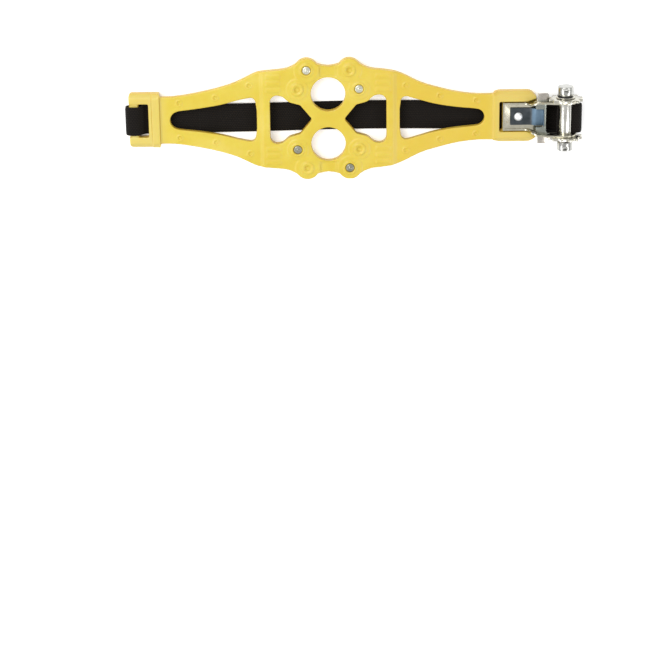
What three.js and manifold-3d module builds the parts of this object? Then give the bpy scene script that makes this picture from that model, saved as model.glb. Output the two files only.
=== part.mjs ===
// Strap-on tyre snow grip: an elastic tread plate laid flat, its webbing strap and a small ratchet.
// Millimetres, +X along the plate towards the ratchet, +Y across it, +Z up, resting on Z = 0.
// Everything is drawn about the middle of the plate's lattice; the last lines centre the whole part.

import * as THREE from 'three';
import { mergeVertices } from 'three/addons/utils/BufferGeometryUtils.js';
import Module from 'manifold-3d';

const wasm = await Module();
wasm.setup();

// ---------------------------------------------------------------- driving dimensions

const GAP = 0.3;                    // clearance between neighbouring pieces

// webbing
const WEB_WIDTH = 25;
const WEB_THICK = 1.6;
const TAIL_END_X = -105;            // free end of the sewn fold
const LAYER_RISE = 1.9;             // height of the upper layer over the tail

// tread plate, heights
const PLATE_BOTTOM = 3.8;
const ARM_TOP = 9.4;
const LATTICE_TOP = 11;
const BOSS_RISE = 0.8;
const STEP_X = 55;                  // where the lattice steps down to the arms

// lattice
const LOBE = { x: 17.9, y: 42.2, r: 10 };
const INNER_BOSS = { x: 25.9, y: 26 };
const SADDLE_Y = 45.4;
const ROUND_HOLE = { y: 21.5, r: 14.5 };
const STUD_RING_R = 5.5;
const DIMPLE_R = 2;
const FOOT_R = 8;
const RIB = { x0: 40.2, x1: 53.7, rows: [25.4, 31.2, 37], half: 1.6, rise: 0.6 };

// crossbars and windows
const BAR_OUTER_X = 60.8;
const BAR_INNER_X = 49;

// strap end block
const BLOCK = { x0: -167.2, x1: -141.3, half: 23.3, bottom: 1, top: 10 };
const STRAP_SLOT = { x0: -159.2, x1: -150.9, half: 14.3 };
const RIDGE = { x0: -148, top: 11.6 };
const END_BAR = { r: 3.6, z: 5.6 };
const FOLD = { reachX: 6.4, reachZ: 4.8 };   // from the bar's centre to the strap's centre line

// ratchet pocket
const POCKET = { x0: 138.7, x1: 175, half: 21.8, bottom: 0.6, top: 10.3, wallX: 143.6, wallHalf: 12.9,
  slitHalf: 12 };
const POCKET_FLOOR = { x0: 146.1, top: 6.4 };
const STRAP_WAY_TOP = 2.4;

// ratchet frame
const SHEET = 1.5;
const FRAME = { x0: 146.5, flareX0: 168, flareX1: 175, x1: 182, narrow: 11.9, wide: 14.8 };
const FRAME_FLOOR_Z = POCKET_FLOOR.top + GAP;
const FRAME_LIP_TOP = 10;
const CHEEK_SKIRT = { x0: 183.2, x1: 189, z: 3 };   // the cheeks reach down beside the rising strap
const EYE_R = 9.2;

// spindle
const SPINDLE = { x: 198.2, z: 15.2, r: 5.4, slot: 2.2, end: 22.5 };
const LOOP = { x: SPINDLE.x + 7.9, reach: 5.7, underZ: SPINDLE.z - 8.4 };   // strap's curl past the spindle
const WHEEL = { y0: FRAME.wide + GAP, thick: 2.3, rootR: 12.2, tipR: 14.6, teeth: 12, web: 1.6 };
const WASHER = { y0: WHEEL.y0 + WHEEL.thick + GAP, thick: 0.8, r: 8 };
const RING = { y0: WASHER.y0 + WASHER.thick + GAP, thick: 0.9, r: 6.9, gapAngle: 0.9 };
const HUB = { y0: RING.y0 + RING.thick + GAP, y1: 27.6, r: 6.5, edge: 0.5, slotX: 3.3, slotY: 2.6,
  slotAt: 24.9 };

// pawl
const PAWL = { x0: 173.6, x1: 182, bridgeX: 180.9, notch: 7.8, thick: 2, earX0: 175.2, earX1: 184.3,
  toothX: 185.2, half: 21.5 };
const PAWL_TRAVEL = 2.8;

// leaf spring and rivet
const LEAF = { x0: 152.9, bendX: 169.8, lipX: 180.3, half: 7.2, thick: 0.6 };
const RIVET = { x: 159.5, headR: 3.75, headRise: 2.2, shankR: 2.2, washerR: 5 };

// ---------------------------------------------------------------- helpers

const V2 = (x, y) => new THREE.Vector2(x, y);

function solid(geometry) {
  geometry.deleteAttribute('normal');
  geometry.deleteAttribute('uv');
  const merged = mergeVertices(geometry, 1e-4);
  return new wasm.Manifold(new wasm.Mesh({
    numProp: 3,
    vertProperties: new Float32Array(merged.attributes.position.array),
    triVerts: new Uint32Array(merged.index.array),
  }));
}

function geometryOf(manifold) {
  const mesh = manifold.getMesh();
  const geometry = new THREE.BufferGeometry();
  geometry.setAttribute('position', new THREE.BufferAttribute(mesh.vertProperties, 3));
  geometry.setIndex(new THREE.BufferAttribute(mesh.triVerts, 1));
  geometry.computeVertexNormals();
  return geometry;
}

// A shape drawn in X and Y, standing from z0 to z1.
function upright(shape, z0, z1, curveSegments = 8) {
  const geometry = new THREE.ExtrudeGeometry(shape, { depth: z1 - z0, bevelEnabled: false, curveSegments });
  return solid(geometry.translate(0, 0, z0));
}

// A shape drawn in X and Z, running from y0 to y1.
function across(shape, y0, y1, curveSegments = 8) {
  const geometry = new THREE.ExtrudeGeometry(shape, { depth: y1 - y0, bevelEnabled: false, curveSegments });
  return solid(geometry.rotateX(Math.PI / 2).translate(0, y1, 0));
}

function box(x0, x1, y0, y1, z0, z1) {
  const geometry = new THREE.BoxGeometry(x1 - x0, y1 - y0, z1 - z0);
  return solid(geometry.translate((x0 + x1) / 2, (y0 + y1) / 2, (z0 + z1) / 2));
}

function post(x, y, r, z0, z1, sides = 20) {
  const geometry = new THREE.CylinderGeometry(r, r, z1 - z0, sides).rotateX(Math.PI / 2);
  return solid(geometry.translate(x, y, (z0 + z1) / 2));
}

function discShape(x, y, r) {
  return new THREE.Shape().absarc(x, y, r, 0, 2 * Math.PI);
}

const vectors = (pairs) => pairs.map(([x, y]) => V2(x, y));
const mirrorY = (points) => points.map((p) => V2(p.x, -p.y)).reverse();
const mirrorX = (points) => points.map((p) => V2(-p.x, p.y)).reverse();
const smooth = (points, steps) => new THREE.SplineCurve(points).getPoints(steps);

function arcPoints(x, y, r, from, to, steps) {
  return Array.from({ length: steps + 1 }, (_, i) => {
    const angle = THREE.MathUtils.degToRad(from + ((to - from) * i) / steps);
    return V2(x + r * Math.cos(angle), y + r * Math.sin(angle));
  });
}

// A closed outline with every corner rounded by its own radius: [x, y, radius].
function rounded(corners) {
  const shape = new THREE.Shape();
  corners.forEach(([x, y, r], i) => {
    const before = corners.at(i - 1);
    const after = corners[(i + 1) % corners.length];
    const toBefore = V2(before[0] - x, before[1] - y).normalize().multiplyScalar(r);
    const toAfter = V2(after[0] - x, after[1] - y).normalize().multiplyScalar(r);
    const start = V2(x + toBefore.x, y + toBefore.y);
    if (i === 0) shape.moveTo(start.x, start.y);
    else shape.lineTo(start.x, start.y);
    if (r > 0) shape.quadraticCurveTo(x, y, x + toAfter.x, y + toAfter.y);
  });
  shape.closePath();
  return shape;
}

const both = (make) => [-1, 1].map(make);
const quadrants = (make) => [[-1, -1], [-1, 1], [1, -1], [1, 1]].map(([sx, sy]) => make(sx, sy));

// ---------------------------------------------------------------- tread plate

// The upper edge of one arm, from the lobe outwards.
const RIGHT_ARM = vectors([[29.5, 45.6], [36, 43], [46, 41.9], [57, 39.9], [66, 36], [78, 30],
  [92, 25.7], [108, 21.8], [124, 19.8], [138.7, 19.8]]);
const LEFT_ARM = vectors([[29.5, 45.7], [36, 43.2], [47, 42], [58.5, 40.8], [66.5, 37.4], [78, 31.8],
  [94, 26.8], [112, 22.9], [128, 20.4], [141.3, 20]]);

function upperEdge(armPoints) {
  const saddle = smooth([V2(0, SADDLE_Y), V2(4.8, SADDLE_Y + 0.7), V2(9.2, LOBE.y + 5)], 6);
  const lobe = arcPoints(LOBE.x, LOBE.y, LOBE.r, 150, 35, 12);
  const arm = smooth([lobe.at(-1), ...armPoints], 22);
  return [...saddle.slice(0, -1), ...lobe, ...arm.slice(1)];
}

function plateShape() {
  const right = upperEdge(RIGHT_ARM);
  const left = mirrorX(upperEdge(LEFT_ARM));
  const upper = [...left, ...right.slice(1)];
  return new THREE.Shape([...upper, ...mirrorY(upper)]);
}

// The long window of one arm: straight base at the crossbar, round tip towards the end block.
function armWindow(flanks, tipX, tipR) {
  const edge = smooth(flanks, 12);
  const tip = arcPoints(tipX - tipR, 0, tipR, 75, 0, 6);
  const base = arcPoints(BAR_OUTER_X + 4.5, flanks[0].y - 4.2, 4.4, 180, 100, 5);
  const upper = [V2(BAR_OUTER_X - 0.8, 8), ...base, ...edge, ...tip];
  return [...upper, ...mirrorY(upper.slice(0, -1))];
}

const RIGHT_FLANK = vectors([[66.5, 18.4], [76, 15.6], [90, 11.8], [106, 9.1], [122, 7.5]]);
const LEFT_FLANK = vectors([[66.5, 18.6], [76, 16.6], [90, 13], [108, 10], [125, 8]]);

// The window between a crossbar and the centre, whose edge bulges round the inner boss.
function innerWindow() {
  const corner = arcPoints(BAR_INNER_X - 6.2, 14.8, 6, 0, 90, 6);
  const toBoss = smooth([corner.at(-1), V2(38.6, 19.9), V2(36, 17.8)], 4);
  const ledge = smooth([V2(36, 17.8), V2(32.6, 15), V2(28, 13.6), V2(23.6, 12.4)], 9);
  const upper = [...corner, ...toBoss.slice(1), ...ledge.slice(1), V2(14.2, 1)];
  return [...upper, ...mirrorY(upper)];
}

function cutters() {
  const windows = [
    armWindow(RIGHT_FLANK, 131, 7.2),
    mirrorX(armWindow(LEFT_FLANK, 132.8, 7.6)),
    innerWindow(),
    mirrorX(innerWindow()),
  ].map((points) => upright(new THREE.Shape(points), -1, 20));
  const holes = both((s) => post(0, s * ROUND_HOLE.y, ROUND_HOLE.r, -1, 20, 40));
  return wasm.Manifold.union([...windows, ...holes]);
}

// Studs sit in four of the eight bosses; the other four are plain moulded rings.
const STUDS = [
  { name: 'stud_outer_left', x: -LOBE.x, y: LOBE.y },
  { name: 'stud_inner_right', x: INNER_BOSS.x, y: INNER_BOSS.y },
  { name: 'stud_inner_left', x: -INNER_BOSS.x, y: -INNER_BOSS.y },
  { name: 'stud_outer_right', x: LOBE.x, y: -LOBE.y },
];
const DIMPLES = STUDS.map(({ x, y }) => ({ x, y: -y }));
const STUD = { headR: 3.65, shankR: 2.3, shankZ: 6, headZ: 8.4, topZ: 12.4, pinR: 1.2, pinZ: 13 };

const PIPS_LEFT = [[-125, 15.1], [-94.5, 19.3], [-66, 29.4]];
const PIPS_RIGHT = [[65, 28], [93.5, 18.8], [124, 14.4]];

function endBlock() {
  const { x0, x1, half, bottom, top } = BLOCK;
  const outline = rounded([[x0, -half, 3], [x1, -half, 1.5], [x1, half, 1.5], [x0, half, 3]]);
  const ridge = rounded([[RIDGE.x0, -half, 1], [x1, -half, 1], [x1, half, 1], [RIDGE.x0, half, 1]]);
  const slot = STRAP_SLOT;
  const relief = box(x0 - 1, slot.x1, -slot.half, slot.half, -1, 20);
  const strapWay = box(slot.x1 - 1, x1 + 1, -slot.half, slot.half, 0, PLATE_BOTTOM);
  const barLow = END_BAR.z - END_BAR.r;
  const barHigh = END_BAR.z + END_BAR.r;
  const barShape = rounded([[x0, barLow, END_BAR.r], [slot.x0, barLow, 2], [slot.x0, barHigh, 2],
    [x0, barHigh, END_BAR.r]]);
  return upright(outline, bottom, top)
    .add(upright(ridge, PLATE_BOTTOM, RIDGE.top))
    .subtract(relief)
    .subtract(strapWay)
    .add(across(barShape, -slot.half - 1, slot.half + 1));
}

function pocketBlock() {
  const { x0, x1, half, bottom, top, wallX, wallHalf, slitHalf } = POCKET;
  const outline = rounded([[x0, -half + 1.4, 1], [x0 + 4, -half, 2], [x1 - 5.5, -half, 2.5],
    [x1, -half + 5, 2], [x1, half - 5, 2], [x1 - 5.5, half, 2.5], [x0 + 4, half, 2], [x0, half - 1.4, 1]]);
  const wellSide = [V2(wallX, wallHalf), V2(FRAME.flareX0 - 1, wallHalf), V2(x1 + 1, FRAME.wide + 1.4)];
  const well = upright(new THREE.Shape([...wellSide, ...mirrorY(wellSide)]), POCKET_FLOOR.top, 20);
  const slit = box(wallX, POCKET_FLOOR.x0, -slitHalf, slitHalf, 0, 20);
  const strapWay = box(x0 - 1, x1 + 1, -STRAP_SLOT.half, STRAP_SLOT.half, 0, STRAP_WAY_TOP);
  const rivetHole = post(RIVET.x, 0, RIVET.shankR + GAP, 0, 20);
  const washerSeat = post(RIVET.x, 0, RIVET.washerR + 0.5, 0, 4);
  return upright(outline, bottom, top)
    .subtract(well)
    .subtract(slit)
    .subtract(strapWay)
    .subtract(rivetHole)
    .subtract(washerSeat);
}

function treadPlate() {
  const steps = both((s) => box(Math.min(s * STEP_X, s * 200), Math.max(s * STEP_X, s * 200), -60, 60,
    ARM_TOP, 20));
  const sheet = upright(plateShape(), PLATE_BOTTOM, LATTICE_TOP).subtract(wasm.Manifold.union(steps));
  const feet = quadrants((sx, sy) => post(sx * LOBE.x, sy * LOBE.y, FOOT_R, 0, PLATE_BOTTOM + 1));
  const rings = [...STUDS, ...DIMPLES]
    .map(({ x, y }) => post(x, y, STUD_RING_R, LATTICE_TOP - 1, LATTICE_TOP + BOSS_RISE));
  const pips = [...PIPS_LEFT, ...PIPS_RIGHT]
    .flatMap(([x, y]) => both((s) => post(x, s * y, 1.5, ARM_TOP - 1, ARM_TOP + 0.5, 8)));
  const ribs = quadrants((sx, sy) => RIB.rows.map((y) => {
    const [x0, x1] = [sx * RIB.x0, sx * RIB.x1].sort((a, b) => a - b);
    return box(x0, x1, sy * y - RIB.half, sy * y + RIB.half, LATTICE_TOP - 1, LATTICE_TOP + RIB.rise);
  })).flat();
  const body = wasm.Manifold.union([sheet, ...feet, ...rings, ...pips, ...ribs]).subtract(cutters());
  const seats = STUDS.flatMap(({ x, y }) => [
    post(x, y, STUD.headR + GAP, STUD.headZ - GAP, 20),
    post(x, y, STUD.shankR + GAP, STUD.shankZ - GAP, 20, 16),
  ]);
  const dimples = DIMPLES.map(({ x, y }) => post(x, y, DIMPLE_R, LATTICE_TOP - 0.4, 20, 16));
  return wasm.Manifold.union([body, endBlock(), pocketBlock()])
    .subtract(wasm.Manifold.union([...seats, ...dimples]));
}

function studGeometry() {
  const s = STUD;
  const profile = [V2(0, s.shankZ), V2(s.shankR, s.shankZ), V2(s.shankR, s.headZ), V2(s.headR, s.headZ),
    V2(s.headR, s.topZ - 0.7), V2(s.headR - 0.8, s.topZ), V2(s.pinR, s.topZ), V2(s.pinR, s.pinZ - 0.2),
    V2(s.pinR - 0.3, s.pinZ), V2(0, s.pinZ)];
  return new THREE.LatheGeometry(profile, 20).rotateX(Math.PI / 2);
}

// ---------------------------------------------------------------- webbing

// A strip of even thickness along a centre line drawn in X and Z.
function strip(centre, thick, width) {
  const side = (sign) => centre.map((p, i) => {
    const ahead = centre[Math.min(i + 1, centre.length - 1)];
    const behind = centre[Math.max(i - 1, 0)];
    const along = V2(ahead.x - behind.x, ahead.y - behind.y).normalize();
    return V2(p.x - (sign * along.y * thick) / 2, p.y + (sign * along.x * thick) / 2);
  });
  return across(new THREE.Shape([...side(-1), ...side(1).reverse()]), -width / 2, width / 2);
}

// From the tail, round the end bar, down through the slot, under the plate and up round the spindle.
function strapRoute() {
  const low = WEB_THICK / 2;
  const high = low + LAYER_RISE;
  const barX = BLOCK.x0 + END_BAR.r;
  const barZ = END_BAR.z;
  const onEllipse = (x, z, reachX, reachZ, angle) =>
    V2(x + reachX * Math.cos(angle), z + reachZ * Math.sin(angle));
  const roundBar = Array.from({ length: 15 }, (_, i) =>
    onEllipse(barX, barZ, FOLD.reachX, FOLD.reachZ, Math.PI * (1.5 - i / 14)));
  const throughSlot = smooth([V2(barX + 2.7, barZ + FOLD.reachZ), V2(barX + 5.4, barZ + FOLD.reachZ - 1.7),
    V2(barX + 6.7, barZ + 1), V2(barX + 8, high + 1.6), V2(barX + 11, high + 0.1),
    V2(barX + 14.1, high)], 14);
  const settle = smooth([V2(-103.5, high), V2(-98.5, high - 0.9), V2(-93, low)], 6);
  const climb = smooth([V2(170, low), V2(176, low + 0.7), V2(182, low + 2.3), V2(188, LOOP.underZ - 1.6),
    V2(195, LOOP.underZ - 0.3), V2(LOOP.x - 1, LOOP.underZ)], 16);
  const loopReachZ = (SPINDLE.z - LOOP.underZ) / 2;
  const roundSpindle = Array.from({ length: 12 }, (_, i) =>
    onEllipse(LOOP.x, LOOP.underZ + loopReachZ, LOOP.reach, loopReachZ, Math.PI * (i / 11 - 0.5)));
  return [V2(TAIL_END_X, low), ...roundBar, ...throughSlot, ...settle, ...climb, ...roundSpindle];
}

function strapInSpindle() {
  const reach = SPINDLE.r + 1.8;
  return box(SPINDLE.x - reach, SPINDLE.x + reach, -WEB_WIDTH / 2, WEB_WIDTH / 2,
    SPINDLE.z - WEB_THICK / 2, SPINDLE.z + WEB_THICK / 2);
}

// ---------------------------------------------------------------- ratchet frame

// Plan of the frame's outside: narrow in the pocket, flaring out to the spindle cheeks.
function framePlan(inset) {
  const { x0, flareX0, flareX1, narrow, wide } = FRAME;
  const far = SPINDLE.x + EYE_R + 1;
  const start = x0 + inset;
  const upper = [V2(start, narrow - inset), V2(flareX0 + inset * 0.3, narrow - inset),
    V2(flareX1 + inset * 0.3, wide - inset), V2(far + inset, wide - inset)];
  return new THREE.Shape([...upper, ...mirrorY(upper)]);
}

// Side view of a cheek: low beside the spring, rising to a round eye at the spindle.
function cheekProfile() {
  const { x0 } = FRAME;
  const shape = new THREE.Shape();
  shape.moveTo(x0, FRAME_FLOOR_Z);
  shape.lineTo(FRAME.x1, FRAME_FLOOR_Z);
  shape.lineTo(CHEEK_SKIRT.x0, CHEEK_SKIRT.z);
  shape.lineTo(CHEEK_SKIRT.x1, CHEEK_SKIRT.z);
  shape.lineTo(SPINDLE.x - 4, SPINDLE.z - EYE_R + 0.9);
  shape.absarc(SPINDLE.x, SPINDLE.z, EYE_R, -2, 1.9, false);
  shape.lineTo(177, SPINDLE.z + 5.9);
  shape.quadraticCurveTo(170.6, SPINDLE.z + 5.5, 168.6, SPINDLE.z - 0.5);
  shape.quadraticCurveTo(167.2, FRAME_LIP_TOP, 163, FRAME_LIP_TOP);
  shape.lineTo(x0, FRAME_LIP_TOP);
  shape.closePath();
  return shape;
}

function ratchetFrame() {
  const tall = 40;
  const plan = upright(framePlan(0), 0, tall);
  const inside = upright(framePlan(SHEET), FRAME_FLOOR_Z + SHEET, tall + 1);
  const floorEnd = box(FRAME.x1, SPINDLE.x + 20, -FRAME.wide + SHEET, FRAME.wide - SHEET, 0, tall);
  const side = across(cheekProfile(), -FRAME.wide - 1, FRAME.wide + 1, 12);
  const bore = across(discShape(SPINDLE.x, SPINDLE.z, SPINDLE.r + GAP), -20, 20, 12);
  const halfSlot = PAWL.thick / 2 + GAP;
  const pawlSlot = box(PAWL.earX0 - PAWL_TRAVEL - GAP, PAWL.toothX + GAP, -20, 20,
    SPINDLE.z - halfSlot, SPINDLE.z + halfSlot);
  const rivetHole = post(RIVET.x, 0, RIVET.shankR + GAP, 0, 20);
  return plan.subtract(inside).intersect(side)
    .subtract(floorEnd).subtract(bore).subtract(pawlSlot).subtract(rivetHole);
}

// ---------------------------------------------------------------- pawl, leaf spring and rivet

// A sliding plate with a notch for the leaf: its ears pass through both cheeks, catch the wheels' teeth and
// end as finger grips.
function pawl() {
  const { x0, x1, bridgeX, notch, thick, earX0, earX1, toothX, half } = PAWL;
  const inner = FRAME.wide - SHEET - GAP;
  const gripY = WHEEL.y0 + WHEEL.thick + 0.6;
  const z0 = SPINDLE.z - thick / 2;
  const z1 = z0 + thick;
  const plan = [V2(bridgeX, notch), V2(x0, notch), V2(x0, inner - 1.8), V2(earX0, inner - 1.1),
    V2(earX0, half), V2(earX1 - 1.2, half), V2(earX1, half - 1.2), V2(earX1, gripY),
    V2(toothX, gripY - 0.6), V2(toothX, inner), V2(x1 + 1.5, inner), V2(x1, inner - 2)];
  const blade = upright(new THREE.Shape([...plan, ...mirrorY(plan)]), z0, z1);
  const side = new THREE.Shape([V2(x0 - 1, z0), V2(toothX + 1, z0), V2(toothX + 1, SPINDLE.z),
    V2(toothX - 1.5, z1), V2(x0 - 1, z1)]);
  return blade.intersect(across(side, -half - 1, half + 1));
}

// Flat under the rivet, then a raised tongue with an upturned lip that pushes on the pawl's bridge.
function leafSpring() {
  const { x0, bendX, lipX, half, thick } = LEAF;
  const z = FRAME_FLOOR_Z + SHEET + GAP + thick / 2;
  const route = [V2(x0, z), ...smooth([V2(bendX - 1, z), V2(bendX + 0.6, z + 0.4), V2(bendX + 3, z + 2),
    V2(bendX + 4.8, z + 2.6), V2(lipX - 1.1, z + 2.9), V2(lipX - 0.2, z + 3.8), V2(lipX, z + 5.2),
    V2(lipX, SPINDLE.z + PAWL.thick / 2)], 24)];
  const hole = post(RIVET.x, 0, RIVET.shankR + GAP, 0, 30, 16);
  return strip(route, thick, half * 2).subtract(hole);
}

function rivetGeometry() {
  const seat = FRAME_FLOOR_Z + SHEET + 2 * GAP + LEAF.thick;
  const under = 2.5;
  const { headR, headRise, shankR } = RIVET;
  const rimAngle = THREE.MathUtils.radToDeg(Math.atan2(headRise, headR));
  const dome = arcPoints(0, seat - headRise, Math.hypot(headR, headRise), rimAngle, 90, 6);
  const profile = [V2(0, under), V2(3, under), V2(3, under + 0.6), V2(shankR, under + 0.6),
    V2(shankR, seat), V2(headR, seat), ...dome.slice(1)];
  profile.at(-1).x = 0;
  return new THREE.LatheGeometry(profile, 20).rotateX(Math.PI / 2).translate(RIVET.x, 0, 0);
}

function washerGeometry(inner, outer, thick) {
  const profile = [V2(inner, 0), V2(outer, 0), V2(outer, thick), V2(inner, thick), V2(inner, 0)];
  return new THREE.LatheGeometry(profile, 28);
}

// ---------------------------------------------------------------- spindle

function spindleHalf(sign) {
  const half = SPINDLE.slot / 2;
  const from = Math.asin(half / SPINDLE.r);
  const shape = new THREE.Shape();
  shape.absarc(SPINDLE.x, SPINDLE.z, SPINDLE.r, from, Math.PI - from, false);
  shape.closePath();
  const bar = across(shape, -SPINDLE.end, SPINDLE.end, 14);
  return sign > 0 ? bar : bar.translate([-SPINDLE.x, 0, -SPINDLE.z]).rotate([0, 180, 0])
    .translate([SPINDLE.x, 0, SPINDLE.z]);
}

// Saw teeth that let the spindle wind and stop it unwinding. A tooth's steep flank faces the pawl.
function wheelShape() {
  const step = (2 * Math.PI) / WHEEL.teeth;
  const points = [];
  for (let i = 0; i < WHEEL.teeth; i += 1) {
    const root = Math.PI - 0.14 + i * step;
    const at = (r, angle) => V2(SPINDLE.x + r * Math.cos(angle), SPINDLE.z + r * Math.sin(angle));
    points.push(at(WHEEL.rootR, root), at(WHEEL.rootR, root + 0.2), at(WHEEL.tipR, root + step - 0.12));
    points.push(at(WHEEL.tipR, root + step - 0.02));
  }
  return new THREE.Shape(points);
}

// Two D-shaped holes take the spindle halves; the web between them sits in their slot.
function ratchetWheel(y0) {
  const y1 = y0 + WHEEL.thick;
  const bore = across(discShape(SPINDLE.x, SPINDLE.z, SPINDLE.r + GAP), y0 - 1, y1 + 1, 12);
  const web = box(SPINDLE.x - 10, SPINDLE.x + 10, y0 - 1, y1 + 1,
    SPINDLE.z - WHEEL.web / 2, SPINDLE.z + WHEEL.web / 2);
  return across(wheelShape(), y0, y1).subtract(bore.subtract(web));
}

function retainingRing(y0) {
  const shape = new THREE.Shape();
  const inner = SPINDLE.r + GAP;
  const half = RING.gapAngle / 2;
  shape.absarc(SPINDLE.x, SPINDLE.z, RING.r, half, 2 * Math.PI - half, false);
  shape.absarc(SPINDLE.x, SPINDLE.z, inner, 2 * Math.PI - half, half, true);
  shape.closePath();
  return across(shape, y0, y0 + RING.thick, 14);
}

// Hub that takes the winding tool: blind bore over the spindle's end and a slot across the nose.
function driveHub(sign) {
  const { y0, y1, r, edge, slotX, slotY, slotAt } = HUB;
  const profile = [V2(0, y0), V2(r, y0), V2(r, y1 - edge), V2(r - edge, y1), V2(0, y1)];
  const nose = solid(new THREE.LatheGeometry(profile, 32)).translate([SPINDLE.x, 0, SPINDLE.z]);
  const boreDepth = SPINDLE.end + GAP;
  const bore = across(discShape(SPINDLE.x, SPINDLE.z, SPINDLE.r + GAP), y0 - 1, boreDepth, 12);
  const slot = box(SPINDLE.x - slotX / 2, SPINDLE.x + slotX / 2, slotAt - slotY / 2, slotAt + slotY / 2,
    SPINDLE.z - 10, SPINDLE.z + 10);
  const hub = nose.subtract(bore).subtract(slot);
  return sign > 0 ? hub : hub.mirror([0, 1, 0]);
}

// ---------------------------------------------------------------- materials

const material = (name, color, roughness, metalness) =>
  new THREE.MeshStandardMaterial({ name, color, roughness, metalness });
const polymer = () => material('yellow_polymer', 0xedd04c, 0.42, 0);
const webbing = () => material('black_webbing', 0x26241f, 0.85, 0);
const zinc = () => material('zinc_steel', 0xc9c8bd, 0.32, 1);
const chrome = () => material('bright_steel', 0xdcdcd6, 0.18, 1);
const blued = () => material('blued_steel', 0x68829a, 0.35, 1);
const blackened = () => material('blackened_steel', 0x2e2c2a, 0.45, 1);
const studSteel = () => material('stud_steel', 0xc6c8a8, 0.3, 1);

// ---------------------------------------------------------------- assembly

const part = new THREE.Group();
part.name = 'tyre_snow_grip';

function place(name, shape, finish, parent = part) {
  const geometry = shape.isBufferGeometry ? shape : geometryOf(shape);
  const mesh = new THREE.Mesh(geometry, finish);
  mesh.name = name;
  parent.add(mesh);
  return mesh;
}

place('tread_plate', treadPlate(), polymer());
STUDS.forEach(({ name, x, y }) => place(name, studGeometry(), studSteel()).position.set(x, y, 0));

place('webbing_strap', strip(strapRoute(), WEB_THICK, WEB_WIDTH), webbing());
place('webbing_in_spindle', strapInSpindle(), webbing());

place('ratchet_frame', ratchetFrame(), zinc());
place('pawl', pawl(), zinc());
place('pawl_spring', leafSpring(), blued());
place('anchor_rivet', rivetGeometry(), chrome());
const anchorWasher = place('anchor_washer', washerGeometry(RIVET.shankR + 0.2, RIVET.washerR, 0.6), zinc());
anchorWasher.rotation.x = Math.PI / 2;
anchorWasher.position.set(RIVET.x, 0, 3.35);

place('spindle_half_upper', spindleHalf(1), chrome());
place('spindle_half_lower', spindleHalf(-1), chrome());

both((s) => {
  const side = s > 0 ? 'back' : 'front';
  const lowY = (piece) => (s > 0 ? piece.y0 : -piece.y0 - piece.thick);
  place(`ratchet_wheel_${side}`, ratchetWheel(lowY(WHEEL)), zinc());
  place(`retaining_ring_${side}`, retainingRing(lowY(RING)), blackened());
  place(`drive_hub_${side}`, driveHub(s), chrome());
  const thrust = washerGeometry(SPINDLE.r + GAP, WASHER.r, WASHER.thick);
  const washer = place(`thrust_washer_${side}`, thrust, zinc());
  washer.position.set(SPINDLE.x, lowY(WASHER), SPINDLE.z);
  return washer;
});

// The origin is under the middle of the whole part.
const bounds = new THREE.Box3().setFromObject(part);
part.position.x = -(bounds.min.x + bounds.max.x) / 2;

export default part;
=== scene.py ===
"""Looks of the tyre snow grip: moulded plate, woven strap and small steel ratchet on a pale floor.

Everything is in metres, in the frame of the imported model. MM turns the sizes below into metres.
"""

import math

import bmesh
import bpy
import numpy as np
from mathutils import Matrix, Vector


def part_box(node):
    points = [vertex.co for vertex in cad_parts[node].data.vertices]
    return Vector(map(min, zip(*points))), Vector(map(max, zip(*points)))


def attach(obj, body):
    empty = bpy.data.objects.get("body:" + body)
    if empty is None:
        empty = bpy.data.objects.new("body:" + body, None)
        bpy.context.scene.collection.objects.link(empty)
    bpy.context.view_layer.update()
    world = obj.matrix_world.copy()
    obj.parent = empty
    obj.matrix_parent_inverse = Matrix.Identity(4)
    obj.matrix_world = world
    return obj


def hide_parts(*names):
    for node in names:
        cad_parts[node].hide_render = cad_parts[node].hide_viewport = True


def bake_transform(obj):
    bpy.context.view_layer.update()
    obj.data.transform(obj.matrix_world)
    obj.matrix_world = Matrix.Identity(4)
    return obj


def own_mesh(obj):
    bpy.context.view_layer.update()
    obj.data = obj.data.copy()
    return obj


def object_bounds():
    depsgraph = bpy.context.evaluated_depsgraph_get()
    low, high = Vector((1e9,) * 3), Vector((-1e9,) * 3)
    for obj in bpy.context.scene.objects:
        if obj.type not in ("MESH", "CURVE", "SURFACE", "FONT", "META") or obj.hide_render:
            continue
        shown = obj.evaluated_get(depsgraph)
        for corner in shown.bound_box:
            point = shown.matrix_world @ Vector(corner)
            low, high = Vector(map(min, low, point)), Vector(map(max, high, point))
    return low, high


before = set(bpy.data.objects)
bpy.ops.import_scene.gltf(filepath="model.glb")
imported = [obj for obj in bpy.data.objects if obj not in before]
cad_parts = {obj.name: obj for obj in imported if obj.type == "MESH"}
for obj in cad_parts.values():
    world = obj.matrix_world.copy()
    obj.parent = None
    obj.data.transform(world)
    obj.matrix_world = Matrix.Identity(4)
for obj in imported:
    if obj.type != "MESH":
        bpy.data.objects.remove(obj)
CAD_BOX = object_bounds()
MM = 0.001


def centre(node):
    low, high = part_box(node)
    return (low + high) / 2


# ---------------------------------------------------------------- places taken from the frame

STUDS = ["stud_outer_left", "stud_inner_right", "stud_inner_left", "stud_outer_right"]
STUD_AT = [centre(name) for name in STUDS]
DIMPLE_AT = [Vector((p.x, -p.y, p.z)) for p in STUD_AT]
LATTICE_X = (STUD_AT[0].x + STUD_AT[3].x) / 2
SPINDLE = centre("thrust_washer_back")
STRAP_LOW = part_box("webbing_strap")[0]
PLATE_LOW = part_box("tread_plate")[0]
FLOOR_Z = CAD_BOX[0][2] - 0.1 * MM


# ---------------------------------------------------------------- camera, floor and light


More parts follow.
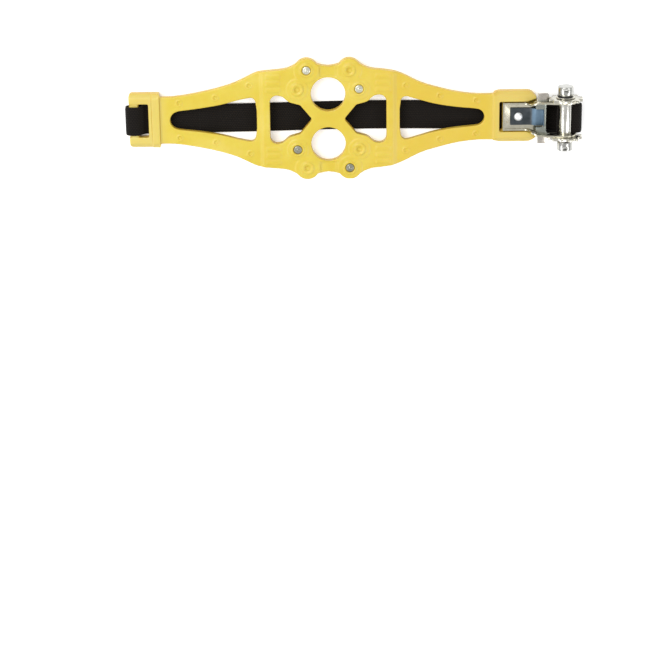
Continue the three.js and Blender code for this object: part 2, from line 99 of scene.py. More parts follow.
def turned(a, b, degrees):
    """The perpendicular directions a and b, turned together so that a leans away from b."""
    angle = math.radians(degrees)
    return a * math.cos(angle) - b * math.sin(angle), b * math.cos(angle) + a * math.sin(angle)


def make_camera():
    """A long lens over the part's back edge, so that the part lies in the upper third of the picture."""
    lean = math.radians(15.0)
    tilt, swing, roll = 4.997, 0.15, 0.67
    distance = 2.0
    target = Vector((LATTICE_X, 0, 8 * MM))
    forward = Vector((0, -math.sin(lean), -math.cos(lean)))
    up = Vector((0, math.cos(lean), -math.sin(lean)))
    right = Vector((1, 0, 0))
    place = target - forward * distance
    forward, up = turned(forward, up, tilt)
    forward, right = turned(forward, right, swing)
    right, up = turned(right, up, roll)
    data = bpy.data.cameras.new("camera")
    data.lens = 131.0
    data.sensor_width = 36.0
    camera = bpy.data.objects.new("camera", data)
    camera.matrix_world = Matrix((
        (right.x, up.x, -forward.x, place.x),
        (right.y, up.y, -forward.y, place.y),
        (right.z, up.z, -forward.z, place.z),
        (0, 0, 0, 1),
    ))
    bpy.context.scene.collection.objects.link(camera)
    bpy.context.scene.camera = camera


def area_light(name, place, aim, size, watts):
    data = bpy.data.lights.new(name, "AREA")
    data.shape = "RECTANGLE"
    data.size, data.size_y = size
    data.energy = watts
    light = bpy.data.objects.new(name, data)
    light.location = place
    light.rotation_euler = (Vector(aim) - Vector(place)).to_track_quat("-Z", "Y").to_euler()
    bpy.context.scene.collection.objects.link(light)


def fill_ramp(node, stops):
    """Gives a colour ramp its (position, colour) stops."""
    elements = node.color_ramp.elements
    while len(elements) < len(stops):
        elements.new(0.5)
    for element, (position, colour) in zip(elements, stops):
        element.position = position
        element.color = (*colour, 1)


def make_world():
    """A white sky, darker overhead and at the horizon, which gives the steel something to mirror."""
    world = bpy.data.worlds.new("studio")
    bpy.context.scene.world = world
    world.use_nodes = True
    tree = world.node_tree
    tree.nodes.clear()
    output = tree.nodes.new("ShaderNodeOutputWorld")
    background = tree.nodes.new("ShaderNodeBackground")
    ramp = tree.nodes.new("ShaderNodeValToRGB")
    split = tree.nodes.new("ShaderNodeSeparateXYZ")
    coordinates = tree.nodes.new("ShaderNodeTexCoord")
    tree.links.new(coordinates.outputs["Generated"], split.inputs[0])
    tree.links.new(split.outputs["Z"], ramp.inputs["Fac"])
    tree.links.new(ramp.outputs["Color"], background.inputs["Color"])
    tree.links.new(background.outputs["Background"], output.inputs["Surface"])
    horizon, white, overhead = (0.50, 0.51, 0.53), (1.0, 1.0, 1.0), (0.80, 0.80, 0.80)
    fill_ramp(ramp, [(0.0, horizon), (0.55, white), (0.80, white), (0.95, overhead)])
    background.inputs["Strength"].default_value = 0.92


def make_stage():
    bpy.ops.mesh.primitive_plane_add(size=8, location=(0, 0, FLOOR_Z))
    floor = bpy.context.object
    floor.name = "floor"
    floor.data.materials.append(plain_floor())
    area_light("key", (-0.9, 0.9, 1.5), (0, 0, 0), (1.2, 1.2), 24.5)
    area_light("fill_right", (1.1, -0.6, 1.1), (0, 0, 0), (0.7, 0.7), 7)
    area_light("fill_left", (-1.2, -0.6, 1.1), (0, 0, 0), (0.7, 0.7), 5.5)
    settings = bpy.context.scene.view_settings
    settings.view_transform = "Standard"
    settings.look = "None"


# ---------------------------------------------------------------- material helpers


class Shader:
    """A small builder for one Principled material."""

    def __init__(self, name):
        self.material = bpy.data.materials.new(name)
        self.material.use_nodes = True
        self.tree = self.material.node_tree
        self.bsdf = self.tree.nodes["Principled BSDF"]
        self.coordinates = self.tree.nodes.new("ShaderNodeTexCoord")

    def set(self, **values):
        for name, value in values.items():
            self.bsdf.inputs[name.replace("_", " ")].default_value = value

    def link(self, output, target):
        socket = self.bsdf.inputs[target] if isinstance(target, str) else target
        self.tree.links.new(output, socket)

    def noise(self, scale, detail=3.0, roughness=0.5, vector=None):
        node = self.tree.nodes.new("ShaderNodeTexNoise")
        node.inputs["Scale"].default_value = scale
        node.inputs["Detail"].default_value = detail
        node.inputs["Roughness"].default_value = roughness
        self.tree.links.new(vector or self.coordinates.outputs["Object"], node.inputs["Vector"])
        return node.outputs["Fac"]

    def stretched(self, factors):
        node = self.tree.nodes.new("ShaderNodeMapping")
        node.inputs["Scale"].default_value = factors
        self.tree.links.new(self.coordinates.outputs["Object"], node.inputs["Vector"])
        return node.outputs["Vector"]

    def ramp(self, source, stops):
        node = self.tree.nodes.new("ShaderNodeValToRGB")
        fill_ramp(node, stops)
        self.tree.links.new(source, node.inputs["Fac"])
        return node.outputs["Color"]

    def place(self, axis):
        """One coordinate of the point in the part's frame."""
        node = self.tree.nodes.new("ShaderNodeSeparateXYZ")
        self.tree.links.new(self.coordinates.outputs["Object"], node.inputs[0])
        return node.outputs[axis]

    def levels(self, source, low, high):
        """Spreads a 0 to 1 value over low to high."""
        node = self.tree.nodes.new("ShaderNodeMapRange")
        node.inputs["To Min"].default_value = low
        node.inputs["To Max"].default_value = high
        self.tree.links.new(source, node.inputs["Value"])
        return node.outputs["Result"]

    def window(self, source, low, high):
        """0 below low, 1 above high, smooth between."""
        node = self.tree.nodes.new("ShaderNodeMapRange")
        node.interpolation_type = "SMOOTHSTEP"
        node.inputs["From Min"].default_value = low
        node.inputs["From Max"].default_value = high
        self.tree.links.new(source, node.inputs["Value"])
        return node.outputs["Result"]

    def math(self, operation, a, b=0.0, c=None):
        node = self.tree.nodes.new("ShaderNodeMath")
        node.operation = operation
        for socket, value in zip(node.inputs, (a, b, c)):
            if value is None:
                continue
            if isinstance(value, (int, float)):
                socket.default_value = value
            else:
                self.tree.links.new(value, socket)
        return node.outputs[0]

    def mix(self, factor, a, b):
        node = self.tree.nodes.new("ShaderNodeMix")
        node.data_type = "RGBA"
        for socket, value in zip((node.inputs[0], node.inputs[6], node.inputs[7]), (factor, a, b)):
            if isinstance(value, (int, float)):
                socket.default_value = value
            elif isinstance(value, tuple):
                socket.default_value = (*value, 1)
            else:
                self.tree.links.new(value, socket)
        return node.outputs[2]

    def bump(self, height, strength, distance):
        node = self.tree.nodes.new("ShaderNodeBump")
        node.inputs["Strength"].default_value = strength
        node.inputs["Distance"].default_value = distance
        self.tree.links.new(height, node.inputs["Height"])
        self.tree.links.new(node.outputs["Normal"], self.bsdf.inputs["Normal"])


def plain_floor():
    shader = Shader("floor")
    shader.set(Roughness=0.9)
    tone = shader.ramp(shader.noise(3.0), [(0.3, (0.90, 0.90, 0.90)), (0.7, (0.93, 0.93, 0.93))])
    shader.link(tone, "Base Color")
    shader.set(Emission_Color=(1, 1, 1, 1), Emission_Strength=0.26)
    return shader.material


def elastic_polymer():
    """Yellow polyurethane: satin top, walls painted deeper orange as painted shade, faint flow marks and
    pits.
    """
    shader = Shader("yellow_polymer")
    geometry = shader.tree.nodes.new("ShaderNodeNewGeometry")
    split = shader.tree.nodes.new("ShaderNodeSeparateXYZ")
    shader.tree.links.new(geometry.outputs["Normal"], split.inputs[0])
    flatness = shader.window(split.outputs["Z"], 0.25, 0.95)
    patches = shader.noise(38.0, detail=4.0, roughness=0.6)
    deep, middle, light = (0.54, 0.405, 0.03), (0.56, 0.435, 0.042), (0.585, 0.465, 0.07)
    top = shader.ramp(patches, [(0.32, deep), (0.5, middle), (0.7, light)])
    to_ratchet = shader.window(shader.place("X"), LATTICE_X - 10 * MM, LATTICE_X + 90 * MM)
    top = shader.mix(shader.math("MULTIPLY", to_ratchet, 0.65), top, (0.56, 0.385, 0.034))
    # Painted shade: surfaces that face sideways take a deeper orange than the top.
    shaded_wall = shader.ramp(patches, [(0.3, (0.50, 0.32, 0.03)), (0.7, (0.55, 0.375, 0.05))])
    from_middle = shader.math("ABSOLUTE", shader.math("SUBTRACT", shader.place("X"), LATTICE_X))
    ends = shader.math("MULTIPLY", shader.window(from_middle, 132 * MM, 146 * MM), 0.5)
    pale = shader.mix(ends, top, (0.56, 0.455, 0.15))
    shader.link(shader.mix(flatness, shaded_wall, pale), "Base Color")
    shader.set(Subsurface_Weight=0.22, Subsurface_Scale=2.5 * MM, IOR=1.5, Specular_IOR_Level=0.5)
    shader.bsdf.inputs["Subsurface Radius"].default_value = (1.0, 0.55, 0.12)
    shader.link(shader.levels(shader.noise(150.0, detail=5.0), 0.34, 0.5), "Roughness")
    grain = shader.math("ADD", shader.noise(900.0, detail=4.0), shader.noise(60.0, detail=2.0))
    shader.bump(grain, 0.18, 0.25 * MM)
    return shader.material


def metal(name, dark, light, roughness, scratch=(1, 18, 18), tarnish=None, zone=None):
    """Plated or turned steel with fine drawn scratches and softly varied gloss.

    A zone is a mask over position, with the dark tone, light tone and roughness that the steel has there.
    """
    shader = Shader(name)
    cloud = shader.noise(120.0, detail=4.0, roughness=0.6)
    colour = shader.ramp(cloud, [(0.3, dark), (0.7, light)])
    if tarnish is not None:
        spots = shader.window(shader.noise(260.0, detail=5.0, roughness=0.7), 0.58, 0.74)
        colour = shader.mix(spots, colour, tarnish)
    drawn = shader.noise(420.0, detail=3.0, vector=shader.stretched(scratch))
    varied = shader.levels(drawn, roughness * 0.75, roughness * 1.3)
    if zone is not None:
        find_mask, zone_dark, zone_light, zone_roughness = zone
        mask = find_mask(shader)
        zone_colour = shader.ramp(cloud, [(0.3, zone_dark), (0.7, zone_light)])
        colour = shader.mix(mask, colour, zone_colour)
        varied = shader.math("MULTIPLY_ADD", mask, zone_roughness - roughness, varied)
    shader.link(colour, "Base Color")
    shader.link(varied, "Roughness")
    shader.set(Metallic=1.0)
    shader.bump(drawn, 0.12, 0.06 * MM)
    return shader.material


def lit_pawl_ends(shader):
    """The pawl's two ends outside the cheeks, painted lighter as painted light; the darker tone between
    the cheeks is painted shade.
    """
    return shader.window(shader.math("ABSOLUTE", shader.place("Y")), 14 * MM, 17 * MM)


def lit_tongue(shader):
    """The leaf's raised tongue, painted a paler blue as painted light; the flat part's dark tone is
    painted shade.
    """
    leaf_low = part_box("pawl_spring")[0]
    return shader.window(shader.place("Z"), leaf_low.z + 0.9 * MM, leaf_low.z + 1.9 * MM)


def shaded_front_row(shader):
    """The two studs of the front row, painted darker as painted shade."""
    return shader.window(shader.place("Y"), 5 * MM, -5 * MM)


def painted_cheek_shade(shader):
    """The inside of the cheeks, painted black low down beside the rising strap: painted shade."""
    inside = shader.window(shader.math("ABSOLUTE", shader.place("Y")), 13.9 * MM, 13.5 * MM)
    along = shader.place("X")
    past_floor = shader.window(along, SPINDLE.x - 16.2 * MM, SPINDLE.x - 15.2 * MM)
    before_spindle = shader.window(along, SPINDLE.x - 3 * MM, SPINDLE.x - 6 * MM)
    low_down = shader.window(shader.place("Z"), SPINDLE.z - 2 * MM, SPINDLE.z - 5 * MM)
    sides = shader.math("MULTIPLY", past_floor, before_spindle)
    return shader.math("MULTIPLY", inside, shader.math("MULTIPLY", sides, low_down))


def woven_webbing():
    """Black polyester webbing: plump warp ribs crossed by staggered picks, with lint and a soft sheen."""
    shader = Shader("black_webbing")
    uv = shader.tree.nodes.new("ShaderNodeUVMap")
    uv.uv_map = "weave"
    split = shader.tree.nodes.new("ShaderNodeSeparateXYZ")
    shader.tree.links.new(uv.outputs["UV"], split.inputs[0])
    along, over = split.outputs["X"], split.outputs["Y"]
    rib_pitch, pick_pitch = 1.56 * MM, 2.1 * MM
    rib = shader.math("DIVIDE", over, rib_pitch)
    row = shader.math("FLOOR", rib)
    rib_height = shader.math("SINE", shader.math("MULTIPLY", shader.math("FRACT", rib), math.pi))
    stagger = shader.math("MULTIPLY", row, 0.5)
    pick = shader.math("FRACT", shader.math("ADD", shader.math("DIVIDE", along, pick_pitch), stagger))
    pick_height = shader.math("SINE", shader.math("MULTIPLY", pick, math.pi))
    weave = shader.math("MULTIPLY", rib_height, shader.math("POWER", pick_height, 0.6))
    lint = shader.noise(1400.0, detail=5.0, roughness=0.7)
    # Painted shade in the weave's hollows and painted highlight on the rib crowns: the tone follows the
    # weave's height.
    shaded_gap, side, lit_crown = (0.002, 0.002, 0.002), (0.007, 0.0052, 0.0038), (0.014, 0.0108, 0.0082)
    tone = shader.ramp(weave, [(0.05, shaded_gap), (0.55, side), (1.0, lit_crown)])
    fuzz = shader.window(lint, 0.62, 0.8)
    shader.link(shader.mix(fuzz, tone, (0.024, 0.020, 0.016)), "Base Color")
    shader.set(Roughness=0.78, Sheen_Weight=0.06, Sheen_Roughness=0.45, Specular_IOR_Level=0.10)
    relief = shader.math("ADD", weave, shader.math("MULTIPLY", lint, 0.25))
    shader.bump(relief, 0.9, 0.35 * MM)
    return shader.material


def sewing_thread():
    shader = Shader("sewing_thread")
    twist = shader.tree.nodes.new("ShaderNodeTexWave")
    twist.inputs["Scale"].default_value = 900.0
    twist.bands_direction = "DIAGONAL"
    shader.tree.links.new(shader.coordinates.outputs["Object"], twist.inputs["Vector"])
    # Painted shade in the twist's grooves, lighter on the strands.
    shaded_hollow, strand = (0.003, 0.003, 0.002), (0.012, 0.010, 0.008)
    shader.link(shader.ramp(twist.outputs["Fac"], [(0.0, shaded_hollow), (1.0, strand)]), "Base Color")
    shader.set(Roughness=0.7, Sheen_Weight=0.06, Specular_IOR_Level=0.12)
    shader.bump(twist.outputs["Fac"], 0.5, 0.1 * MM)
    return shader.material


TARNISHED_ZINC = {"tarnish": (0.52, 0.45, 0.28)}
TARNISHED_STUD = {"tarnish": (0.34, 0.31, 0.24)}
DRAWN_ALONG_Y = {"scratch": (18, 1, 18)}
# Painted shade: the frame's inner cheeks are darkened beside the rising strap.
CHEEK_SHADE_ZONE = (painted_cheek_shade, (0.010, 0.010, 0.010), (0.020, 0.019, 0.018), 0.9)
# Painted light and shade: the pawl is dark between the cheeks and painted lighter at its two ends.
LIT_PAWL_ENDS_ZONE = (lit_pawl_ends, (0.42, 0.39, 0.35), (0.56, 0.52, 0.46), 0.265)
# Painted light and shade: the leaf's tongue is painted paler blue than its flat part.
LIT_TONGUE_ZONE = (lit_tongue, (0.105, 0.165, 0.23), (0.14, 0.21, 0.28), 0.5)
# Painted shade: the front row of studs is given darker tones.
SHADED_FRONT_STUDS = (shaded_front_row, (0.27, 0.27, 0.22), (0.40, 0.40, 0.33), 0.32)

# Each steel's dark tone, light tone and roughness, and what else its finish has.
STEELS = {
    "zinc_steel": ((0.42, 0.40, 0.31), (0.60, 0.57, 0.45), 0.20, TARNISHED_ZINC),
    "frame_steel": ((0.46, 0.44, 0.35), (0.64, 0.61, 0.49), 0.20, {**TARNISHED_ZINC, "zone": CHEEK_SHADE_ZONE}),
    "wheel_steel": ((0.50, 0.485, 0.42), (0.67, 0.65, 0.57), 0.20, TARNISHED_ZINC),
    "stud_steel": ((0.55, 0.55, 0.45), (0.75, 0.75, 0.63), 0.32, {**TARNISHED_STUD, "zone": SHADED_FRONT_STUDS}),
    "pawl_steel": ((0.24, 0.26, 0.23), (0.36, 0.38, 0.34), 0.265, {"zone": LIT_PAWL_ENDS_ZONE}),
    "blued_steel": ((0.045, 0.055, 0.060), (0.085, 0.095, 0.105), 0.36, {"zone": LIT_TONGUE_ZONE}),
    "bright_steel": ((0.50, 0.49, 0.45), (0.68, 0.67, 0.62), 0.20, DRAWN_ALONG_Y),
    "hub_steel": ((0.36, 0.36, 0.34), (0.52, 0.52, 0.49), 0.20, DRAWN_ALONG_Y),
    "rivet_steel": ((0.80, 0.82, 0.84), (0.90, 0.92, 0.94), 0.5, {}),
    # Black finish of the retaining rings, partly real and partly painted shade for the gap between hub
    # and wheel.
    "blackened_steel": ((0.03, 0.029, 0.027), (0.065, 0.062, 0.058), 0.42, {}),
}
MATERIALS = {
    "yellow_polymer": elastic_polymer(),
    "black_webbing": woven_webbing(),
    "thread": sewing_thread(),
}
for steel, (dark, light, roughness, extras) in STEELS.items():
    MATERIALS[steel] = metal(steel, dark, light, roughness, **extras)


# ---------------------------------------------------------------- mesh helpers


def add_object(name, mesh, slot, body="root", nodes=()):
    """Puts a mesh into the scene with its finish, the body it rides on and the nodes it stands for."""
    piece = bpy.data.objects.new(name, mesh)
    bpy.context.scene.collection.objects.link(piece)
    piece.data.materials.append(MATERIALS[slot])
    if body:
        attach(piece, body)
    if nodes:
        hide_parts(*nodes)
    return piece


def shade_smooth(mesh, angle=35.0):
    mesh.polygons.foreach_set("use_smooth", np.ones(len(mesh.polygons), bool))
    mesh.set_sharp_from_angle(angle=math.radians(angle))


def welded_copy(node):
    """The node's surface as clean faces: welded, with the flat triangles joined."""
    bm = bmesh.new()
    bm.from_mesh(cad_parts[node].data)
    bmesh.ops.remove_doubles(bm, verts=bm.verts, dist=1e-6)
    bmesh.ops.dissolve_limit(bm, angle_limit=math.radians(1.0), verts=bm.verts, edges=bm.edges)
    mesh = bpy.data.meshes.new(node + "_clean")
    bm.to_mesh(mesh)
    bm.free()
    return mesh


def applied(piece):
    """The piece's mesh with its modifiers worked in."""
    graph = bpy.context.evaluated_depsgraph_get()
    return bpy.data.meshes.new_from_object(piece.evaluated_get(graph))


def refine(node, slot, body, edge, angle=35.0):
    """Stands in for a CAD node with the same shape and rolled-over edges."""
    piece = bpy.data.objects.new(node + "_shape", welded_copy(node))
    bpy.context.scene.collection.objects.link(piece)
    bevel = piece.modifiers.new("edges", "BEVEL")
    bevel.width = edge
    bevel.segments = 2
    bevel.limit_method = "ANGLE"
    bevel.angle_limit = math.radians(35.0)
    bevel.use_clamp_overlap = True
    bpy.context.view_layer.update()
    mesh = applied(piece)
    bpy.data.objects.remove(piece)
    shade_smooth(mesh, angle)
    return add_object(node + "_finish", mesh, slot, body, [node])


def smoothstep(low, high, value):
    t = np.clip((value - low) / (high - low), 0, 1)
    return t * t * (3 - 2 * t)


# ---------------------------------------------------------------- tread plate


LATTICE_TOP = 11 * MM
ARM_TOP = 9.4 * MM
STEP_X = 55 * MM

# Radius of the raised discs round the bosses and half width of the low saddle between the outer ones,
# in millimetres.
OUTER_BOSS_R = 10.4
INNER_BOSS_R = 9.0
SADDLE_HALF = 6.6

# Left and right end block: direction along X, where it starts and half its width.
END_BLOCKS = [(-1, 141.3 * MM, 23.3 * MM), (1, 138.7 * MM, 21.8 * MM)]
EDGE_SLOPE = 2.6 * MM
STUD_SEAT_GAP = 0.34 * MM

# Small round pips along both arms, in millimetres from the middle of the lattice.
PIPS = [(-125, 15.1), (-94.5, 19.3), (-66, 29.4), (65, 28), (93.5, 18.8), (124, 14.4)]


def neighbour_smooth(points, edges, rounds, pull, push):
    """Evens a surface out: each round pulls points to their neighbours, then pushes them partly back."""
    count = np.bincount(edges.ravel(), minlength=len(points)).astype(float)[:, None]
    for _ in range(rounds):
        for factor in (pull, push):
            total = np.zeros_like(points)
            np.add.at(total, edges[:, 0], points[edges[:, 1]])
            np.add.at(total, edges[:, 1], points[edges[:, 0]])
            points = points + factor * (total / count - points)
    return points


def disc(distance, radius, edge):
    """1 inside the radius and 0 outside it, with a soft edge."""
    return 1 - smoothstep(radius - edge / 2, radius + edge / 2, distance)


def ridge_ring(distance, radius, width):
    return np.exp(-(((distance - radius) / width) ** 2))


def moulded_detail(points):
    """How far the mould raises or sinks the top surface at each point, in metres."""
    x = points[:, 0] - LATTICE_X
    y = points[:, 1]
    bosses = np.zeros(len(points))
    rings = np.zeros(len(points))
    for spots, is_stud in ((STUD_AT, True), (DIMPLE_AT, False)):
        for spot in spots:
            r = np.hypot(points[:, 0] - spot.x, y - spot.y) / MM
            outer = abs(spot.y) > 34 * MM
            bosses = np.maximum(bosses, disc(r, OUTER_BOSS_R if outer else INNER_BOSS_R, 1.6))
            if is_stud:
                rings += 0.25 * ridge_ring(r, 5.2, 0.7)
            else:
                rings += 0.45 * ridge_ring(r, 4.3, 0.75) - 0.55 * disc(r, 2.3, 1.6)
    saddle = disc(np.abs(x) / MM, SADDLE_HALF, 2.2) * smoothstep(36.0, 37.6, np.abs(y) / MM)
    pips = np.zeros(len(points))
    for px, py in PIPS:
        r = np.hypot(x / MM - px, np.abs(y) / MM - py)
        pips += 0.6 * ridge_ring(r, 2.3, 0.6) - 0.8 * disc(r, 1.4, 1.0)
    return (0.6 * bosses + rings - 1.1 * saddle + pips) * MM


def softened_forms(points):
    """Eases the step to the arms, slopes the end blocks' long edges and closes up round the studs."""
    points = points.copy()
    out = np.abs(points[:, 0] - LATTICE_X)
    z = points[:, 2]
    step_top = ARM_TOP + (LATTICE_TOP - ARM_TOP) * (1 - smoothstep(53.8 * MM, 58 * MM, out))
    beyond = out > STEP_X
    z[beyond] += ((step_top - ARM_TOP) * smoothstep(6 * MM, 9.2 * MM, z))[beyond]
    near_step = (out > STEP_X - 3 * MM) & (out < STEP_X + 4 * MM)
    z[near_step] = np.minimum(z, step_top)[near_step]

    for sign, inner_x, half in END_BLOCKS:
        inside = smoothstep(inner_x, inner_x + 1.5 * MM, sign * (points[:, 0] - LATTICE_X))
        near_edge = smoothstep(half - 4.4 * MM, half + 0.3 * MM, np.abs(points[:, 1]))
        z -= EDGE_SLOPE * inside * near_edge * smoothstep(4 * MM, 9.5 * MM, z)

    for spot in STUD_AT:
        away = points[:, :2] - np.array((spot.x, spot.y))
        r = np.hypot(*away.T)
        at_seat = (r > 3 * MM) * (1 - smoothstep(4.0 * MM, 5.6 * MM, r))
        pull = STUD_SEAT_GAP * at_seat * smoothstep(8.6 * MM, 9.4 * MM, z)
        points[:, :2] -= away * (pull / np.maximum(r, MM))[:, None]
    return points


def make_tread_plate():
    """The moulding: the CAD solid remeshed fine, its edges rolled over, then the mould's small detail."""
    source = bpy.data.objects.new("plate_source", welded_copy("tread_plate"))
    bpy.context.scene.collection.objects.link(source)
    remesh = source.modifiers.new("fine", "REMESH")
    remesh.mode = "VOXEL"
    remesh.voxel_size = 0.6 * MM
    remesh.adaptivity = 0.0
    bpy.context.view_layer.update()
    mesh = applied(source)
    bpy.data.objects.remove(source)

    points = np.empty(len(mesh.vertices) * 3)
    mesh.vertices.foreach_get("co", points)
    points = points.reshape(-1, 3)
    edges = np.empty(len(mesh.edges) * 2, int)
    mesh.edges.foreach_get("vertices", edges)
    edges = edges.reshape(-1, 2)
    points = neighbour_smooth(softened_forms(points), edges, rounds=6, pull=0.55, push=-0.30)
    normals = np.empty(len(points) * 3)
    mesh.vertices.foreach_get("normal", normals)
    facing_up = smoothstep(0.6, 0.95, normals.reshape(-1, 3)[:, 2])
    on_top = smoothstep(8.4 * MM, 9.2 * MM, points[:, 2])
    points[:, 2] += moulded_detail(points) * facing_up * on_top
    mesh.vertices.foreach_set("co", points.ravel())
    mesh.update()
    shade_smooth(mesh, 80.0)
    return add_object("tread_moulding", mesh, "yellow_polymer", "root", ["tread_plate"])


# ---------------------------------------------------------------- webbing

WEB_WIDTH = 24.5 * MM
WEB_THICK = 1.6 * MM
EDGE_THINNING = 0.55               # share of the thickness that is gone at the very edge
TAIL_END_X = LATTICE_X - 105 * MM
LAYER_RISE = 1.9 * MM
END_BAR = Vector((PLATE_LOW.x + 3.6 * MM, 0, 5.6 * MM))
FOLD_REACH = (6.4 * MM, 4.8 * MM)


def arc(x, z, rx, rz, start, stop, steps):
    angles = np.radians(np.linspace(start, stop, steps + 1))
    return [(x + rx * math.cos(a), z + rz * math.sin(a)) for a in angles]


def curve_through(points, steps):
    """Points along a smooth curve through the given ones."""
    padded = [points[0], *points, points[-1]]
    result = []
    for i in range(len(points) - 1):
        p0, p1, p2, p3 = (np.array(p) for p in padded[i:i + 4])
        for t in np.linspace(0, 1, steps, endpoint=False):
            result.append(tuple(0.5 * (2 * p1 + (p2 - p0) * t + (2 * p0 - 5 * p1 + 4 * p2 - p3) * t ** 2
                                       + (3 * p1 - p0 - 3 * p2 + p3) * t ** 3)))
    return [*result, tuple(points[-1])]


def strap_route():
    """Centre line in X and Z from the tail, round the end bar, down its slot and back to the floor."""
    low = STRAP_LOW.z + WEB_THICK / 2
    high = low + LAYER_RISE
    reach_x, reach_z = FOLD_REACH
    round_bar = arc(END_BAR.x, END_BAR.z, reach_x, reach_z, 270, 90, 16)
    from_bar = [(2.7, 4.8), (5.4, 3.1), (6.7, 1.0), (8.0, -1.3), (11.0, -2.8)]
    through_slot = curve_through([(END_BAR.x + x * MM, END_BAR.z + z * MM) for x, z in from_bar], 5)
    sewn_end = LATTICE_X - 103.5 * MM
    drop = [(sewn_end, high), (sewn_end + 5 * MM, high - 0.9 * MM), (sewn_end + 10.5 * MM, low)]
    settle = curve_through(drop, 4)
    return [(TAIL_END_X, low), *round_bar, *through_slot, (END_BAR.x + 14.1 * MM, high), *settle]


UNDER_SPINDLE = SPINDLE.z - 8.4 * MM
LOOP_X = SPINDLE.x + 7.9 * MM      # centre of the curl past the spindle
LOOP_REACH = 5.7 * MM
CHEEK_SIDE = 0.75 * MM             # how far the strap lies towards the front cheek in the ratchet


def climb():
    """The stretch that leaves the floor before the ratchet and rises to pass close under the spindle."""
    low = STRAP_LOW.z + WEB_THICK / 2
    leaving = [(-28.2, low), (-22.2, low + 0.7 * MM), (-16.2, low + 2.3 * MM)]
    arriving = [(-10.2, UNDER_SPINDLE - 1.6 * MM), (-3.2, UNDER_SPINDLE - 0.3 * MM), (6.6, UNDER_SPINDLE)]
    return curve_through([(SPINDLE.x + x * MM, z) for x, z in leaving + arriving], 5)


def spindle_loop(first, last):
    """The curl on the far side of the spindle, from angle first to angle last."""
    rise = (SPINDLE.z - UNDER_SPINDLE) / 2
    return arc(LOOP_X, UNDER_SPINDLE + rise, LOOP_REACH, rise, first, last, 14)


def resampled(route, step):
    route = np.array(route, float)
    gaps = np.hypot(*np.diff(route, axis=0).T)
    route = route[np.append(True, gaps > 1e-7)]
    length = np.append(0, np.cumsum(np.hypot(*np.diff(route, axis=0).T)))
    stations = np.linspace(0, length[-1], max(2, round(length[-1] / step)) + 1)
    return np.column_stack([np.interp(stations, length, route[:, k]) for k in (0, 1)]), stations


def even_out(line, rounds):
    """Takes the small corners out of a polyline while its ends stay put."""
    line = line.copy()
    for _ in range(rounds):
        line[1:-1] += 0.5 * ((line[:-2] + line[2:]) / 2 - line[1:-1])
    return line


def web_mesh(name, route, sideways=None, start_length=0.0):
    """A flat woven strip along a centre line in X and Z, thinner and rounded at its two edges."""
    line, stations = resampled(route, 1.0 * MM)
    line = even_out(line, 3)
    ahead = np.gradient(line, axis=0)
    ahead /= np.linalg.norm(ahead, axis=1)[:, None]
    across = np.column_stack([-ahead[:, 1], ahead[:, 0]])
    columns = 30
    v = np.linspace(-1, 1, columns)
    thickness = WEB_THICK * 0.47 * (1 - np.abs(v) ** 14 * EDGE_THINNING)
    ring_v = np.concatenate([v, v[::-1]])
    ring_t = np.concatenate([thickness, -thickness[::-1]])
    shift = np.zeros(len(line)) if sideways is None else sideways(line[:, 0])
    rows, ring = len(line), len(ring_v)
    points = np.empty((rows, ring, 3))
    points[:, :, 0] = line[:, None, 0] + across[:, None, 0] * ring_t[None, :]
    points[:, :, 1] = shift[:, None] + ring_v[None, :] * WEB_WIDTH / 2
    points[:, :, 2] = line[:, None, 1] + across[:, None, 1] * ring_t[None, :]
    index = np.arange(rows * ring).reshape(rows, ring)
    beside = np.roll(index, -1, axis=1)
    faces = np.stack([index[:-1], index[1:], beside[1:], beside[:-1]], axis=-1).reshape(-1, 4)
    mesh = bpy.data.meshes.new(name)
    caps = [index[0].tolist(), index[-1][::-1].tolist()]
    mesh.from_pydata(points.reshape(-1, 3).tolist(), [], faces.tolist() + caps)
    layer = mesh.uv_layers.new(name="weave")
    loops = np.empty(len(mesh.loops), int)
    mesh.loops.foreach_get("vertex_index", loops)
    uv = np.column_stack([start_length + stations[loops // ring], ring_v[loops % ring] * WEB_WIDTH / 2])
    layer.data.foreach_set("uv", uv.ravel())
    mesh.validate()
    shade_smooth(mesh, 50.0)
    return mesh, stations[-1]


def slack(x):
    """The strap lies a little off the centre line under the right half, and close to the front cheek."""
    start, stop = STRAP_LOW.x + 70 * MM, SPINDLE.x - 30 * MM
    t = np.clip((x - start) / (stop - start), 0, 1)
    at_cheek = smoothstep(SPINDLE.x - 34 * MM, SPINDLE.x - 16 * MM, x)
    return 1.5 * MM * np.sin(math.pi * t) ** 2 - 0.25 * MM * (1 - at_cheek) - CHEEK_SIDE * at_cheek


def make_webbing():
    """One strap in two pieces: the stretch held by the plate, and the end that the spindle winds in."""
    mesh, length = web_mesh("strap", [*strap_route(), *climb(), *spindle_loop(-90, 0)], slack)
    add_object("webbing", mesh, "black_webbing", "root", ["webbing_strap"])
    far_end = SPINDLE.x - 6.9 * MM
    wound = [*spindle_loop(0, 90), (SPINDLE.x + 5 * MM, SPINDLE.z), (far_end, SPINDLE.z)]
    mesh, _ = web_mesh("strap_end", wound, lambda x: np.full(len(x), -CHEEK_SIDE), start_length=length)
    end = add_object("webbing_end", mesh, "black_webbing", None, ["webbing_in_spindle"])
    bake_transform(end)


STITCH_PITCH = 3.6 * MM
THREAD_R = 0.34 * MM
SEAM_START_X = LATTICE_X - 147 * MM
SEAM_END_X = LATTICE_X - 108 * MM
SEAM_HALF = 9.6 * MM


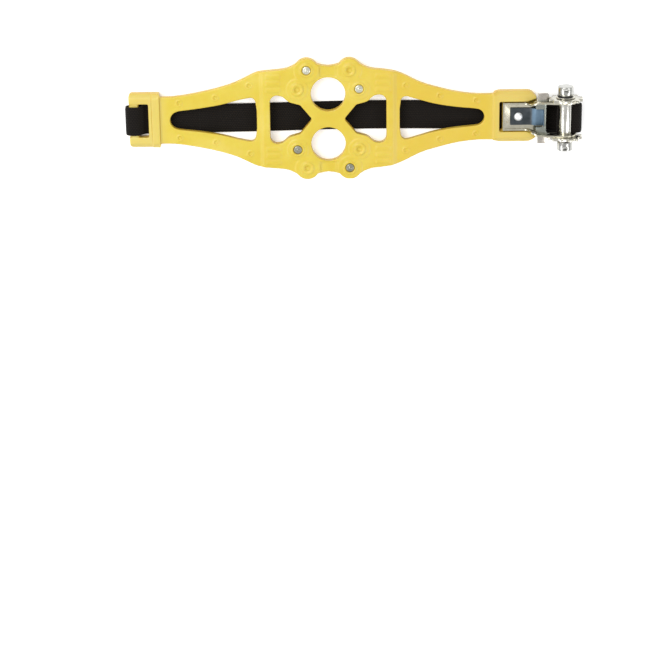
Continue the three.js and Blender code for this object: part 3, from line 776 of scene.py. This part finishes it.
def stitch(bm, start, stop, radius):
    """One short thread that dives into the weave at both ends."""
    start, stop = Vector(start), Vector(stop)
    along = stop - start
    side = Vector((-along.y, along.x, 0)).normalized()
    rings = []
    for t in np.linspace(0, 1, 7):
        bulge = math.sin(math.pi * t)
        middle = start + along * t + Vector((0, 0, radius * (0.9 * bulge - 0.5)))
        width = radius * (0.45 + 0.55 * bulge)
        ring = [bm.verts.new(middle + side * (width * math.cos(a)) + Vector((0, 0, width * math.sin(a))))
                for a in np.linspace(0, 2 * math.pi, 8, endpoint=False)]
        rings.append(ring)
    for a, b in zip(rings, rings[1:]):
        for i in range(8):
            bm.faces.new((a[i], a[(i + 1) % 8], b[(i + 1) % 8], b[i]))
    bm.faces.new(rings[0][::-1])
    bm.faces.new(rings[-1])


def make_seam():
    """The box and cross that sew the strap's fold together, on the fold's upper face."""
    z = STRAP_LOW.z + WEB_THICK + LAYER_RISE - 0.02 * MM
    x0, x1, half = SEAM_START_X, SEAM_END_X, SEAM_HALF
    corners = [(x0, -half), (x1, -half), (x1, half), (x0, half)]
    sides = list(zip(corners, corners[1:] + corners[:1]))
    crosses = [(corners[0], corners[2]), (corners[3], corners[1])]
    bm = bmesh.new()
    for (ax, ay), (bx, by) in sides + crosses:
        length = math.hypot(bx - ax, by - ay)
        count = round(length / STITCH_PITCH)
        for i in range(count):
            t0 = (i + 0.08) / count
            t1 = (i + 0.86) / count
            start = (ax + (bx - ax) * t0, ay + (by - ay) * t0, z)
            stop = (ax + (bx - ax) * t1, ay + (by - ay) * t1, z)
            stitch(bm, start, stop, THREAD_R)
    bmesh.ops.recalc_face_normals(bm, faces=bm.faces)
    mesh = bpy.data.meshes.new("seam")
    bm.to_mesh(mesh)
    bm.free()
    shade_smooth(mesh, 60.0)
    seam = add_object("strap_seam", mesh, "thread", "root")


# ---------------------------------------------------------------- steel pieces


def make_steel():
    """Every steel piece with rolled edges."""
    for name in STUDS:
        refine(name, "stud_steel", "root", 0.18 * MM, angle=50.0)
    frame_piece = refine("ratchet_frame", "frame_steel", "root", 0.3 * MM)
    rivet = refine("anchor_rivet", "rivet_steel", "root", 0.15 * MM, angle=50.0)
    refine("anchor_washer", "zinc_steel", "root", 0.1 * MM)
    pawl = refine("pawl", "pawl_steel", "pawl", 0.25 * MM, angle=40.0)
    for half in ("upper", "lower"):
        refine(f"spindle_half_{half}", "bright_steel", "spindle", 0.2 * MM, angle=40.0)
    for side in ("front", "back"):
        wheel = refine(f"ratchet_wheel_{side}", "wheel_steel", "spindle", 0.2 * MM)
        washer = refine(f"thrust_washer_{side}", "wheel_steel", "spindle", 0.15 * MM)
        # The rings' black is partly their finish and partly painted shade for the gap between hub and
        # wheel.
        refine(f"retaining_ring_{side}", "blackened_steel", "spindle", 0.15 * MM)
        hub = refine(f"drive_hub_{side}", "hub_steel", "spindle", 0.25 * MM)
    leaf = refine("pawl_spring", "blued_steel", "root", 0.12 * MM, angle=50.0)
    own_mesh(leaf)


# ---------------------------------------------------------------- everything

make_camera()
make_world()
make_stage()
make_tread_plate()
make_webbing()
make_seam()
make_steel()
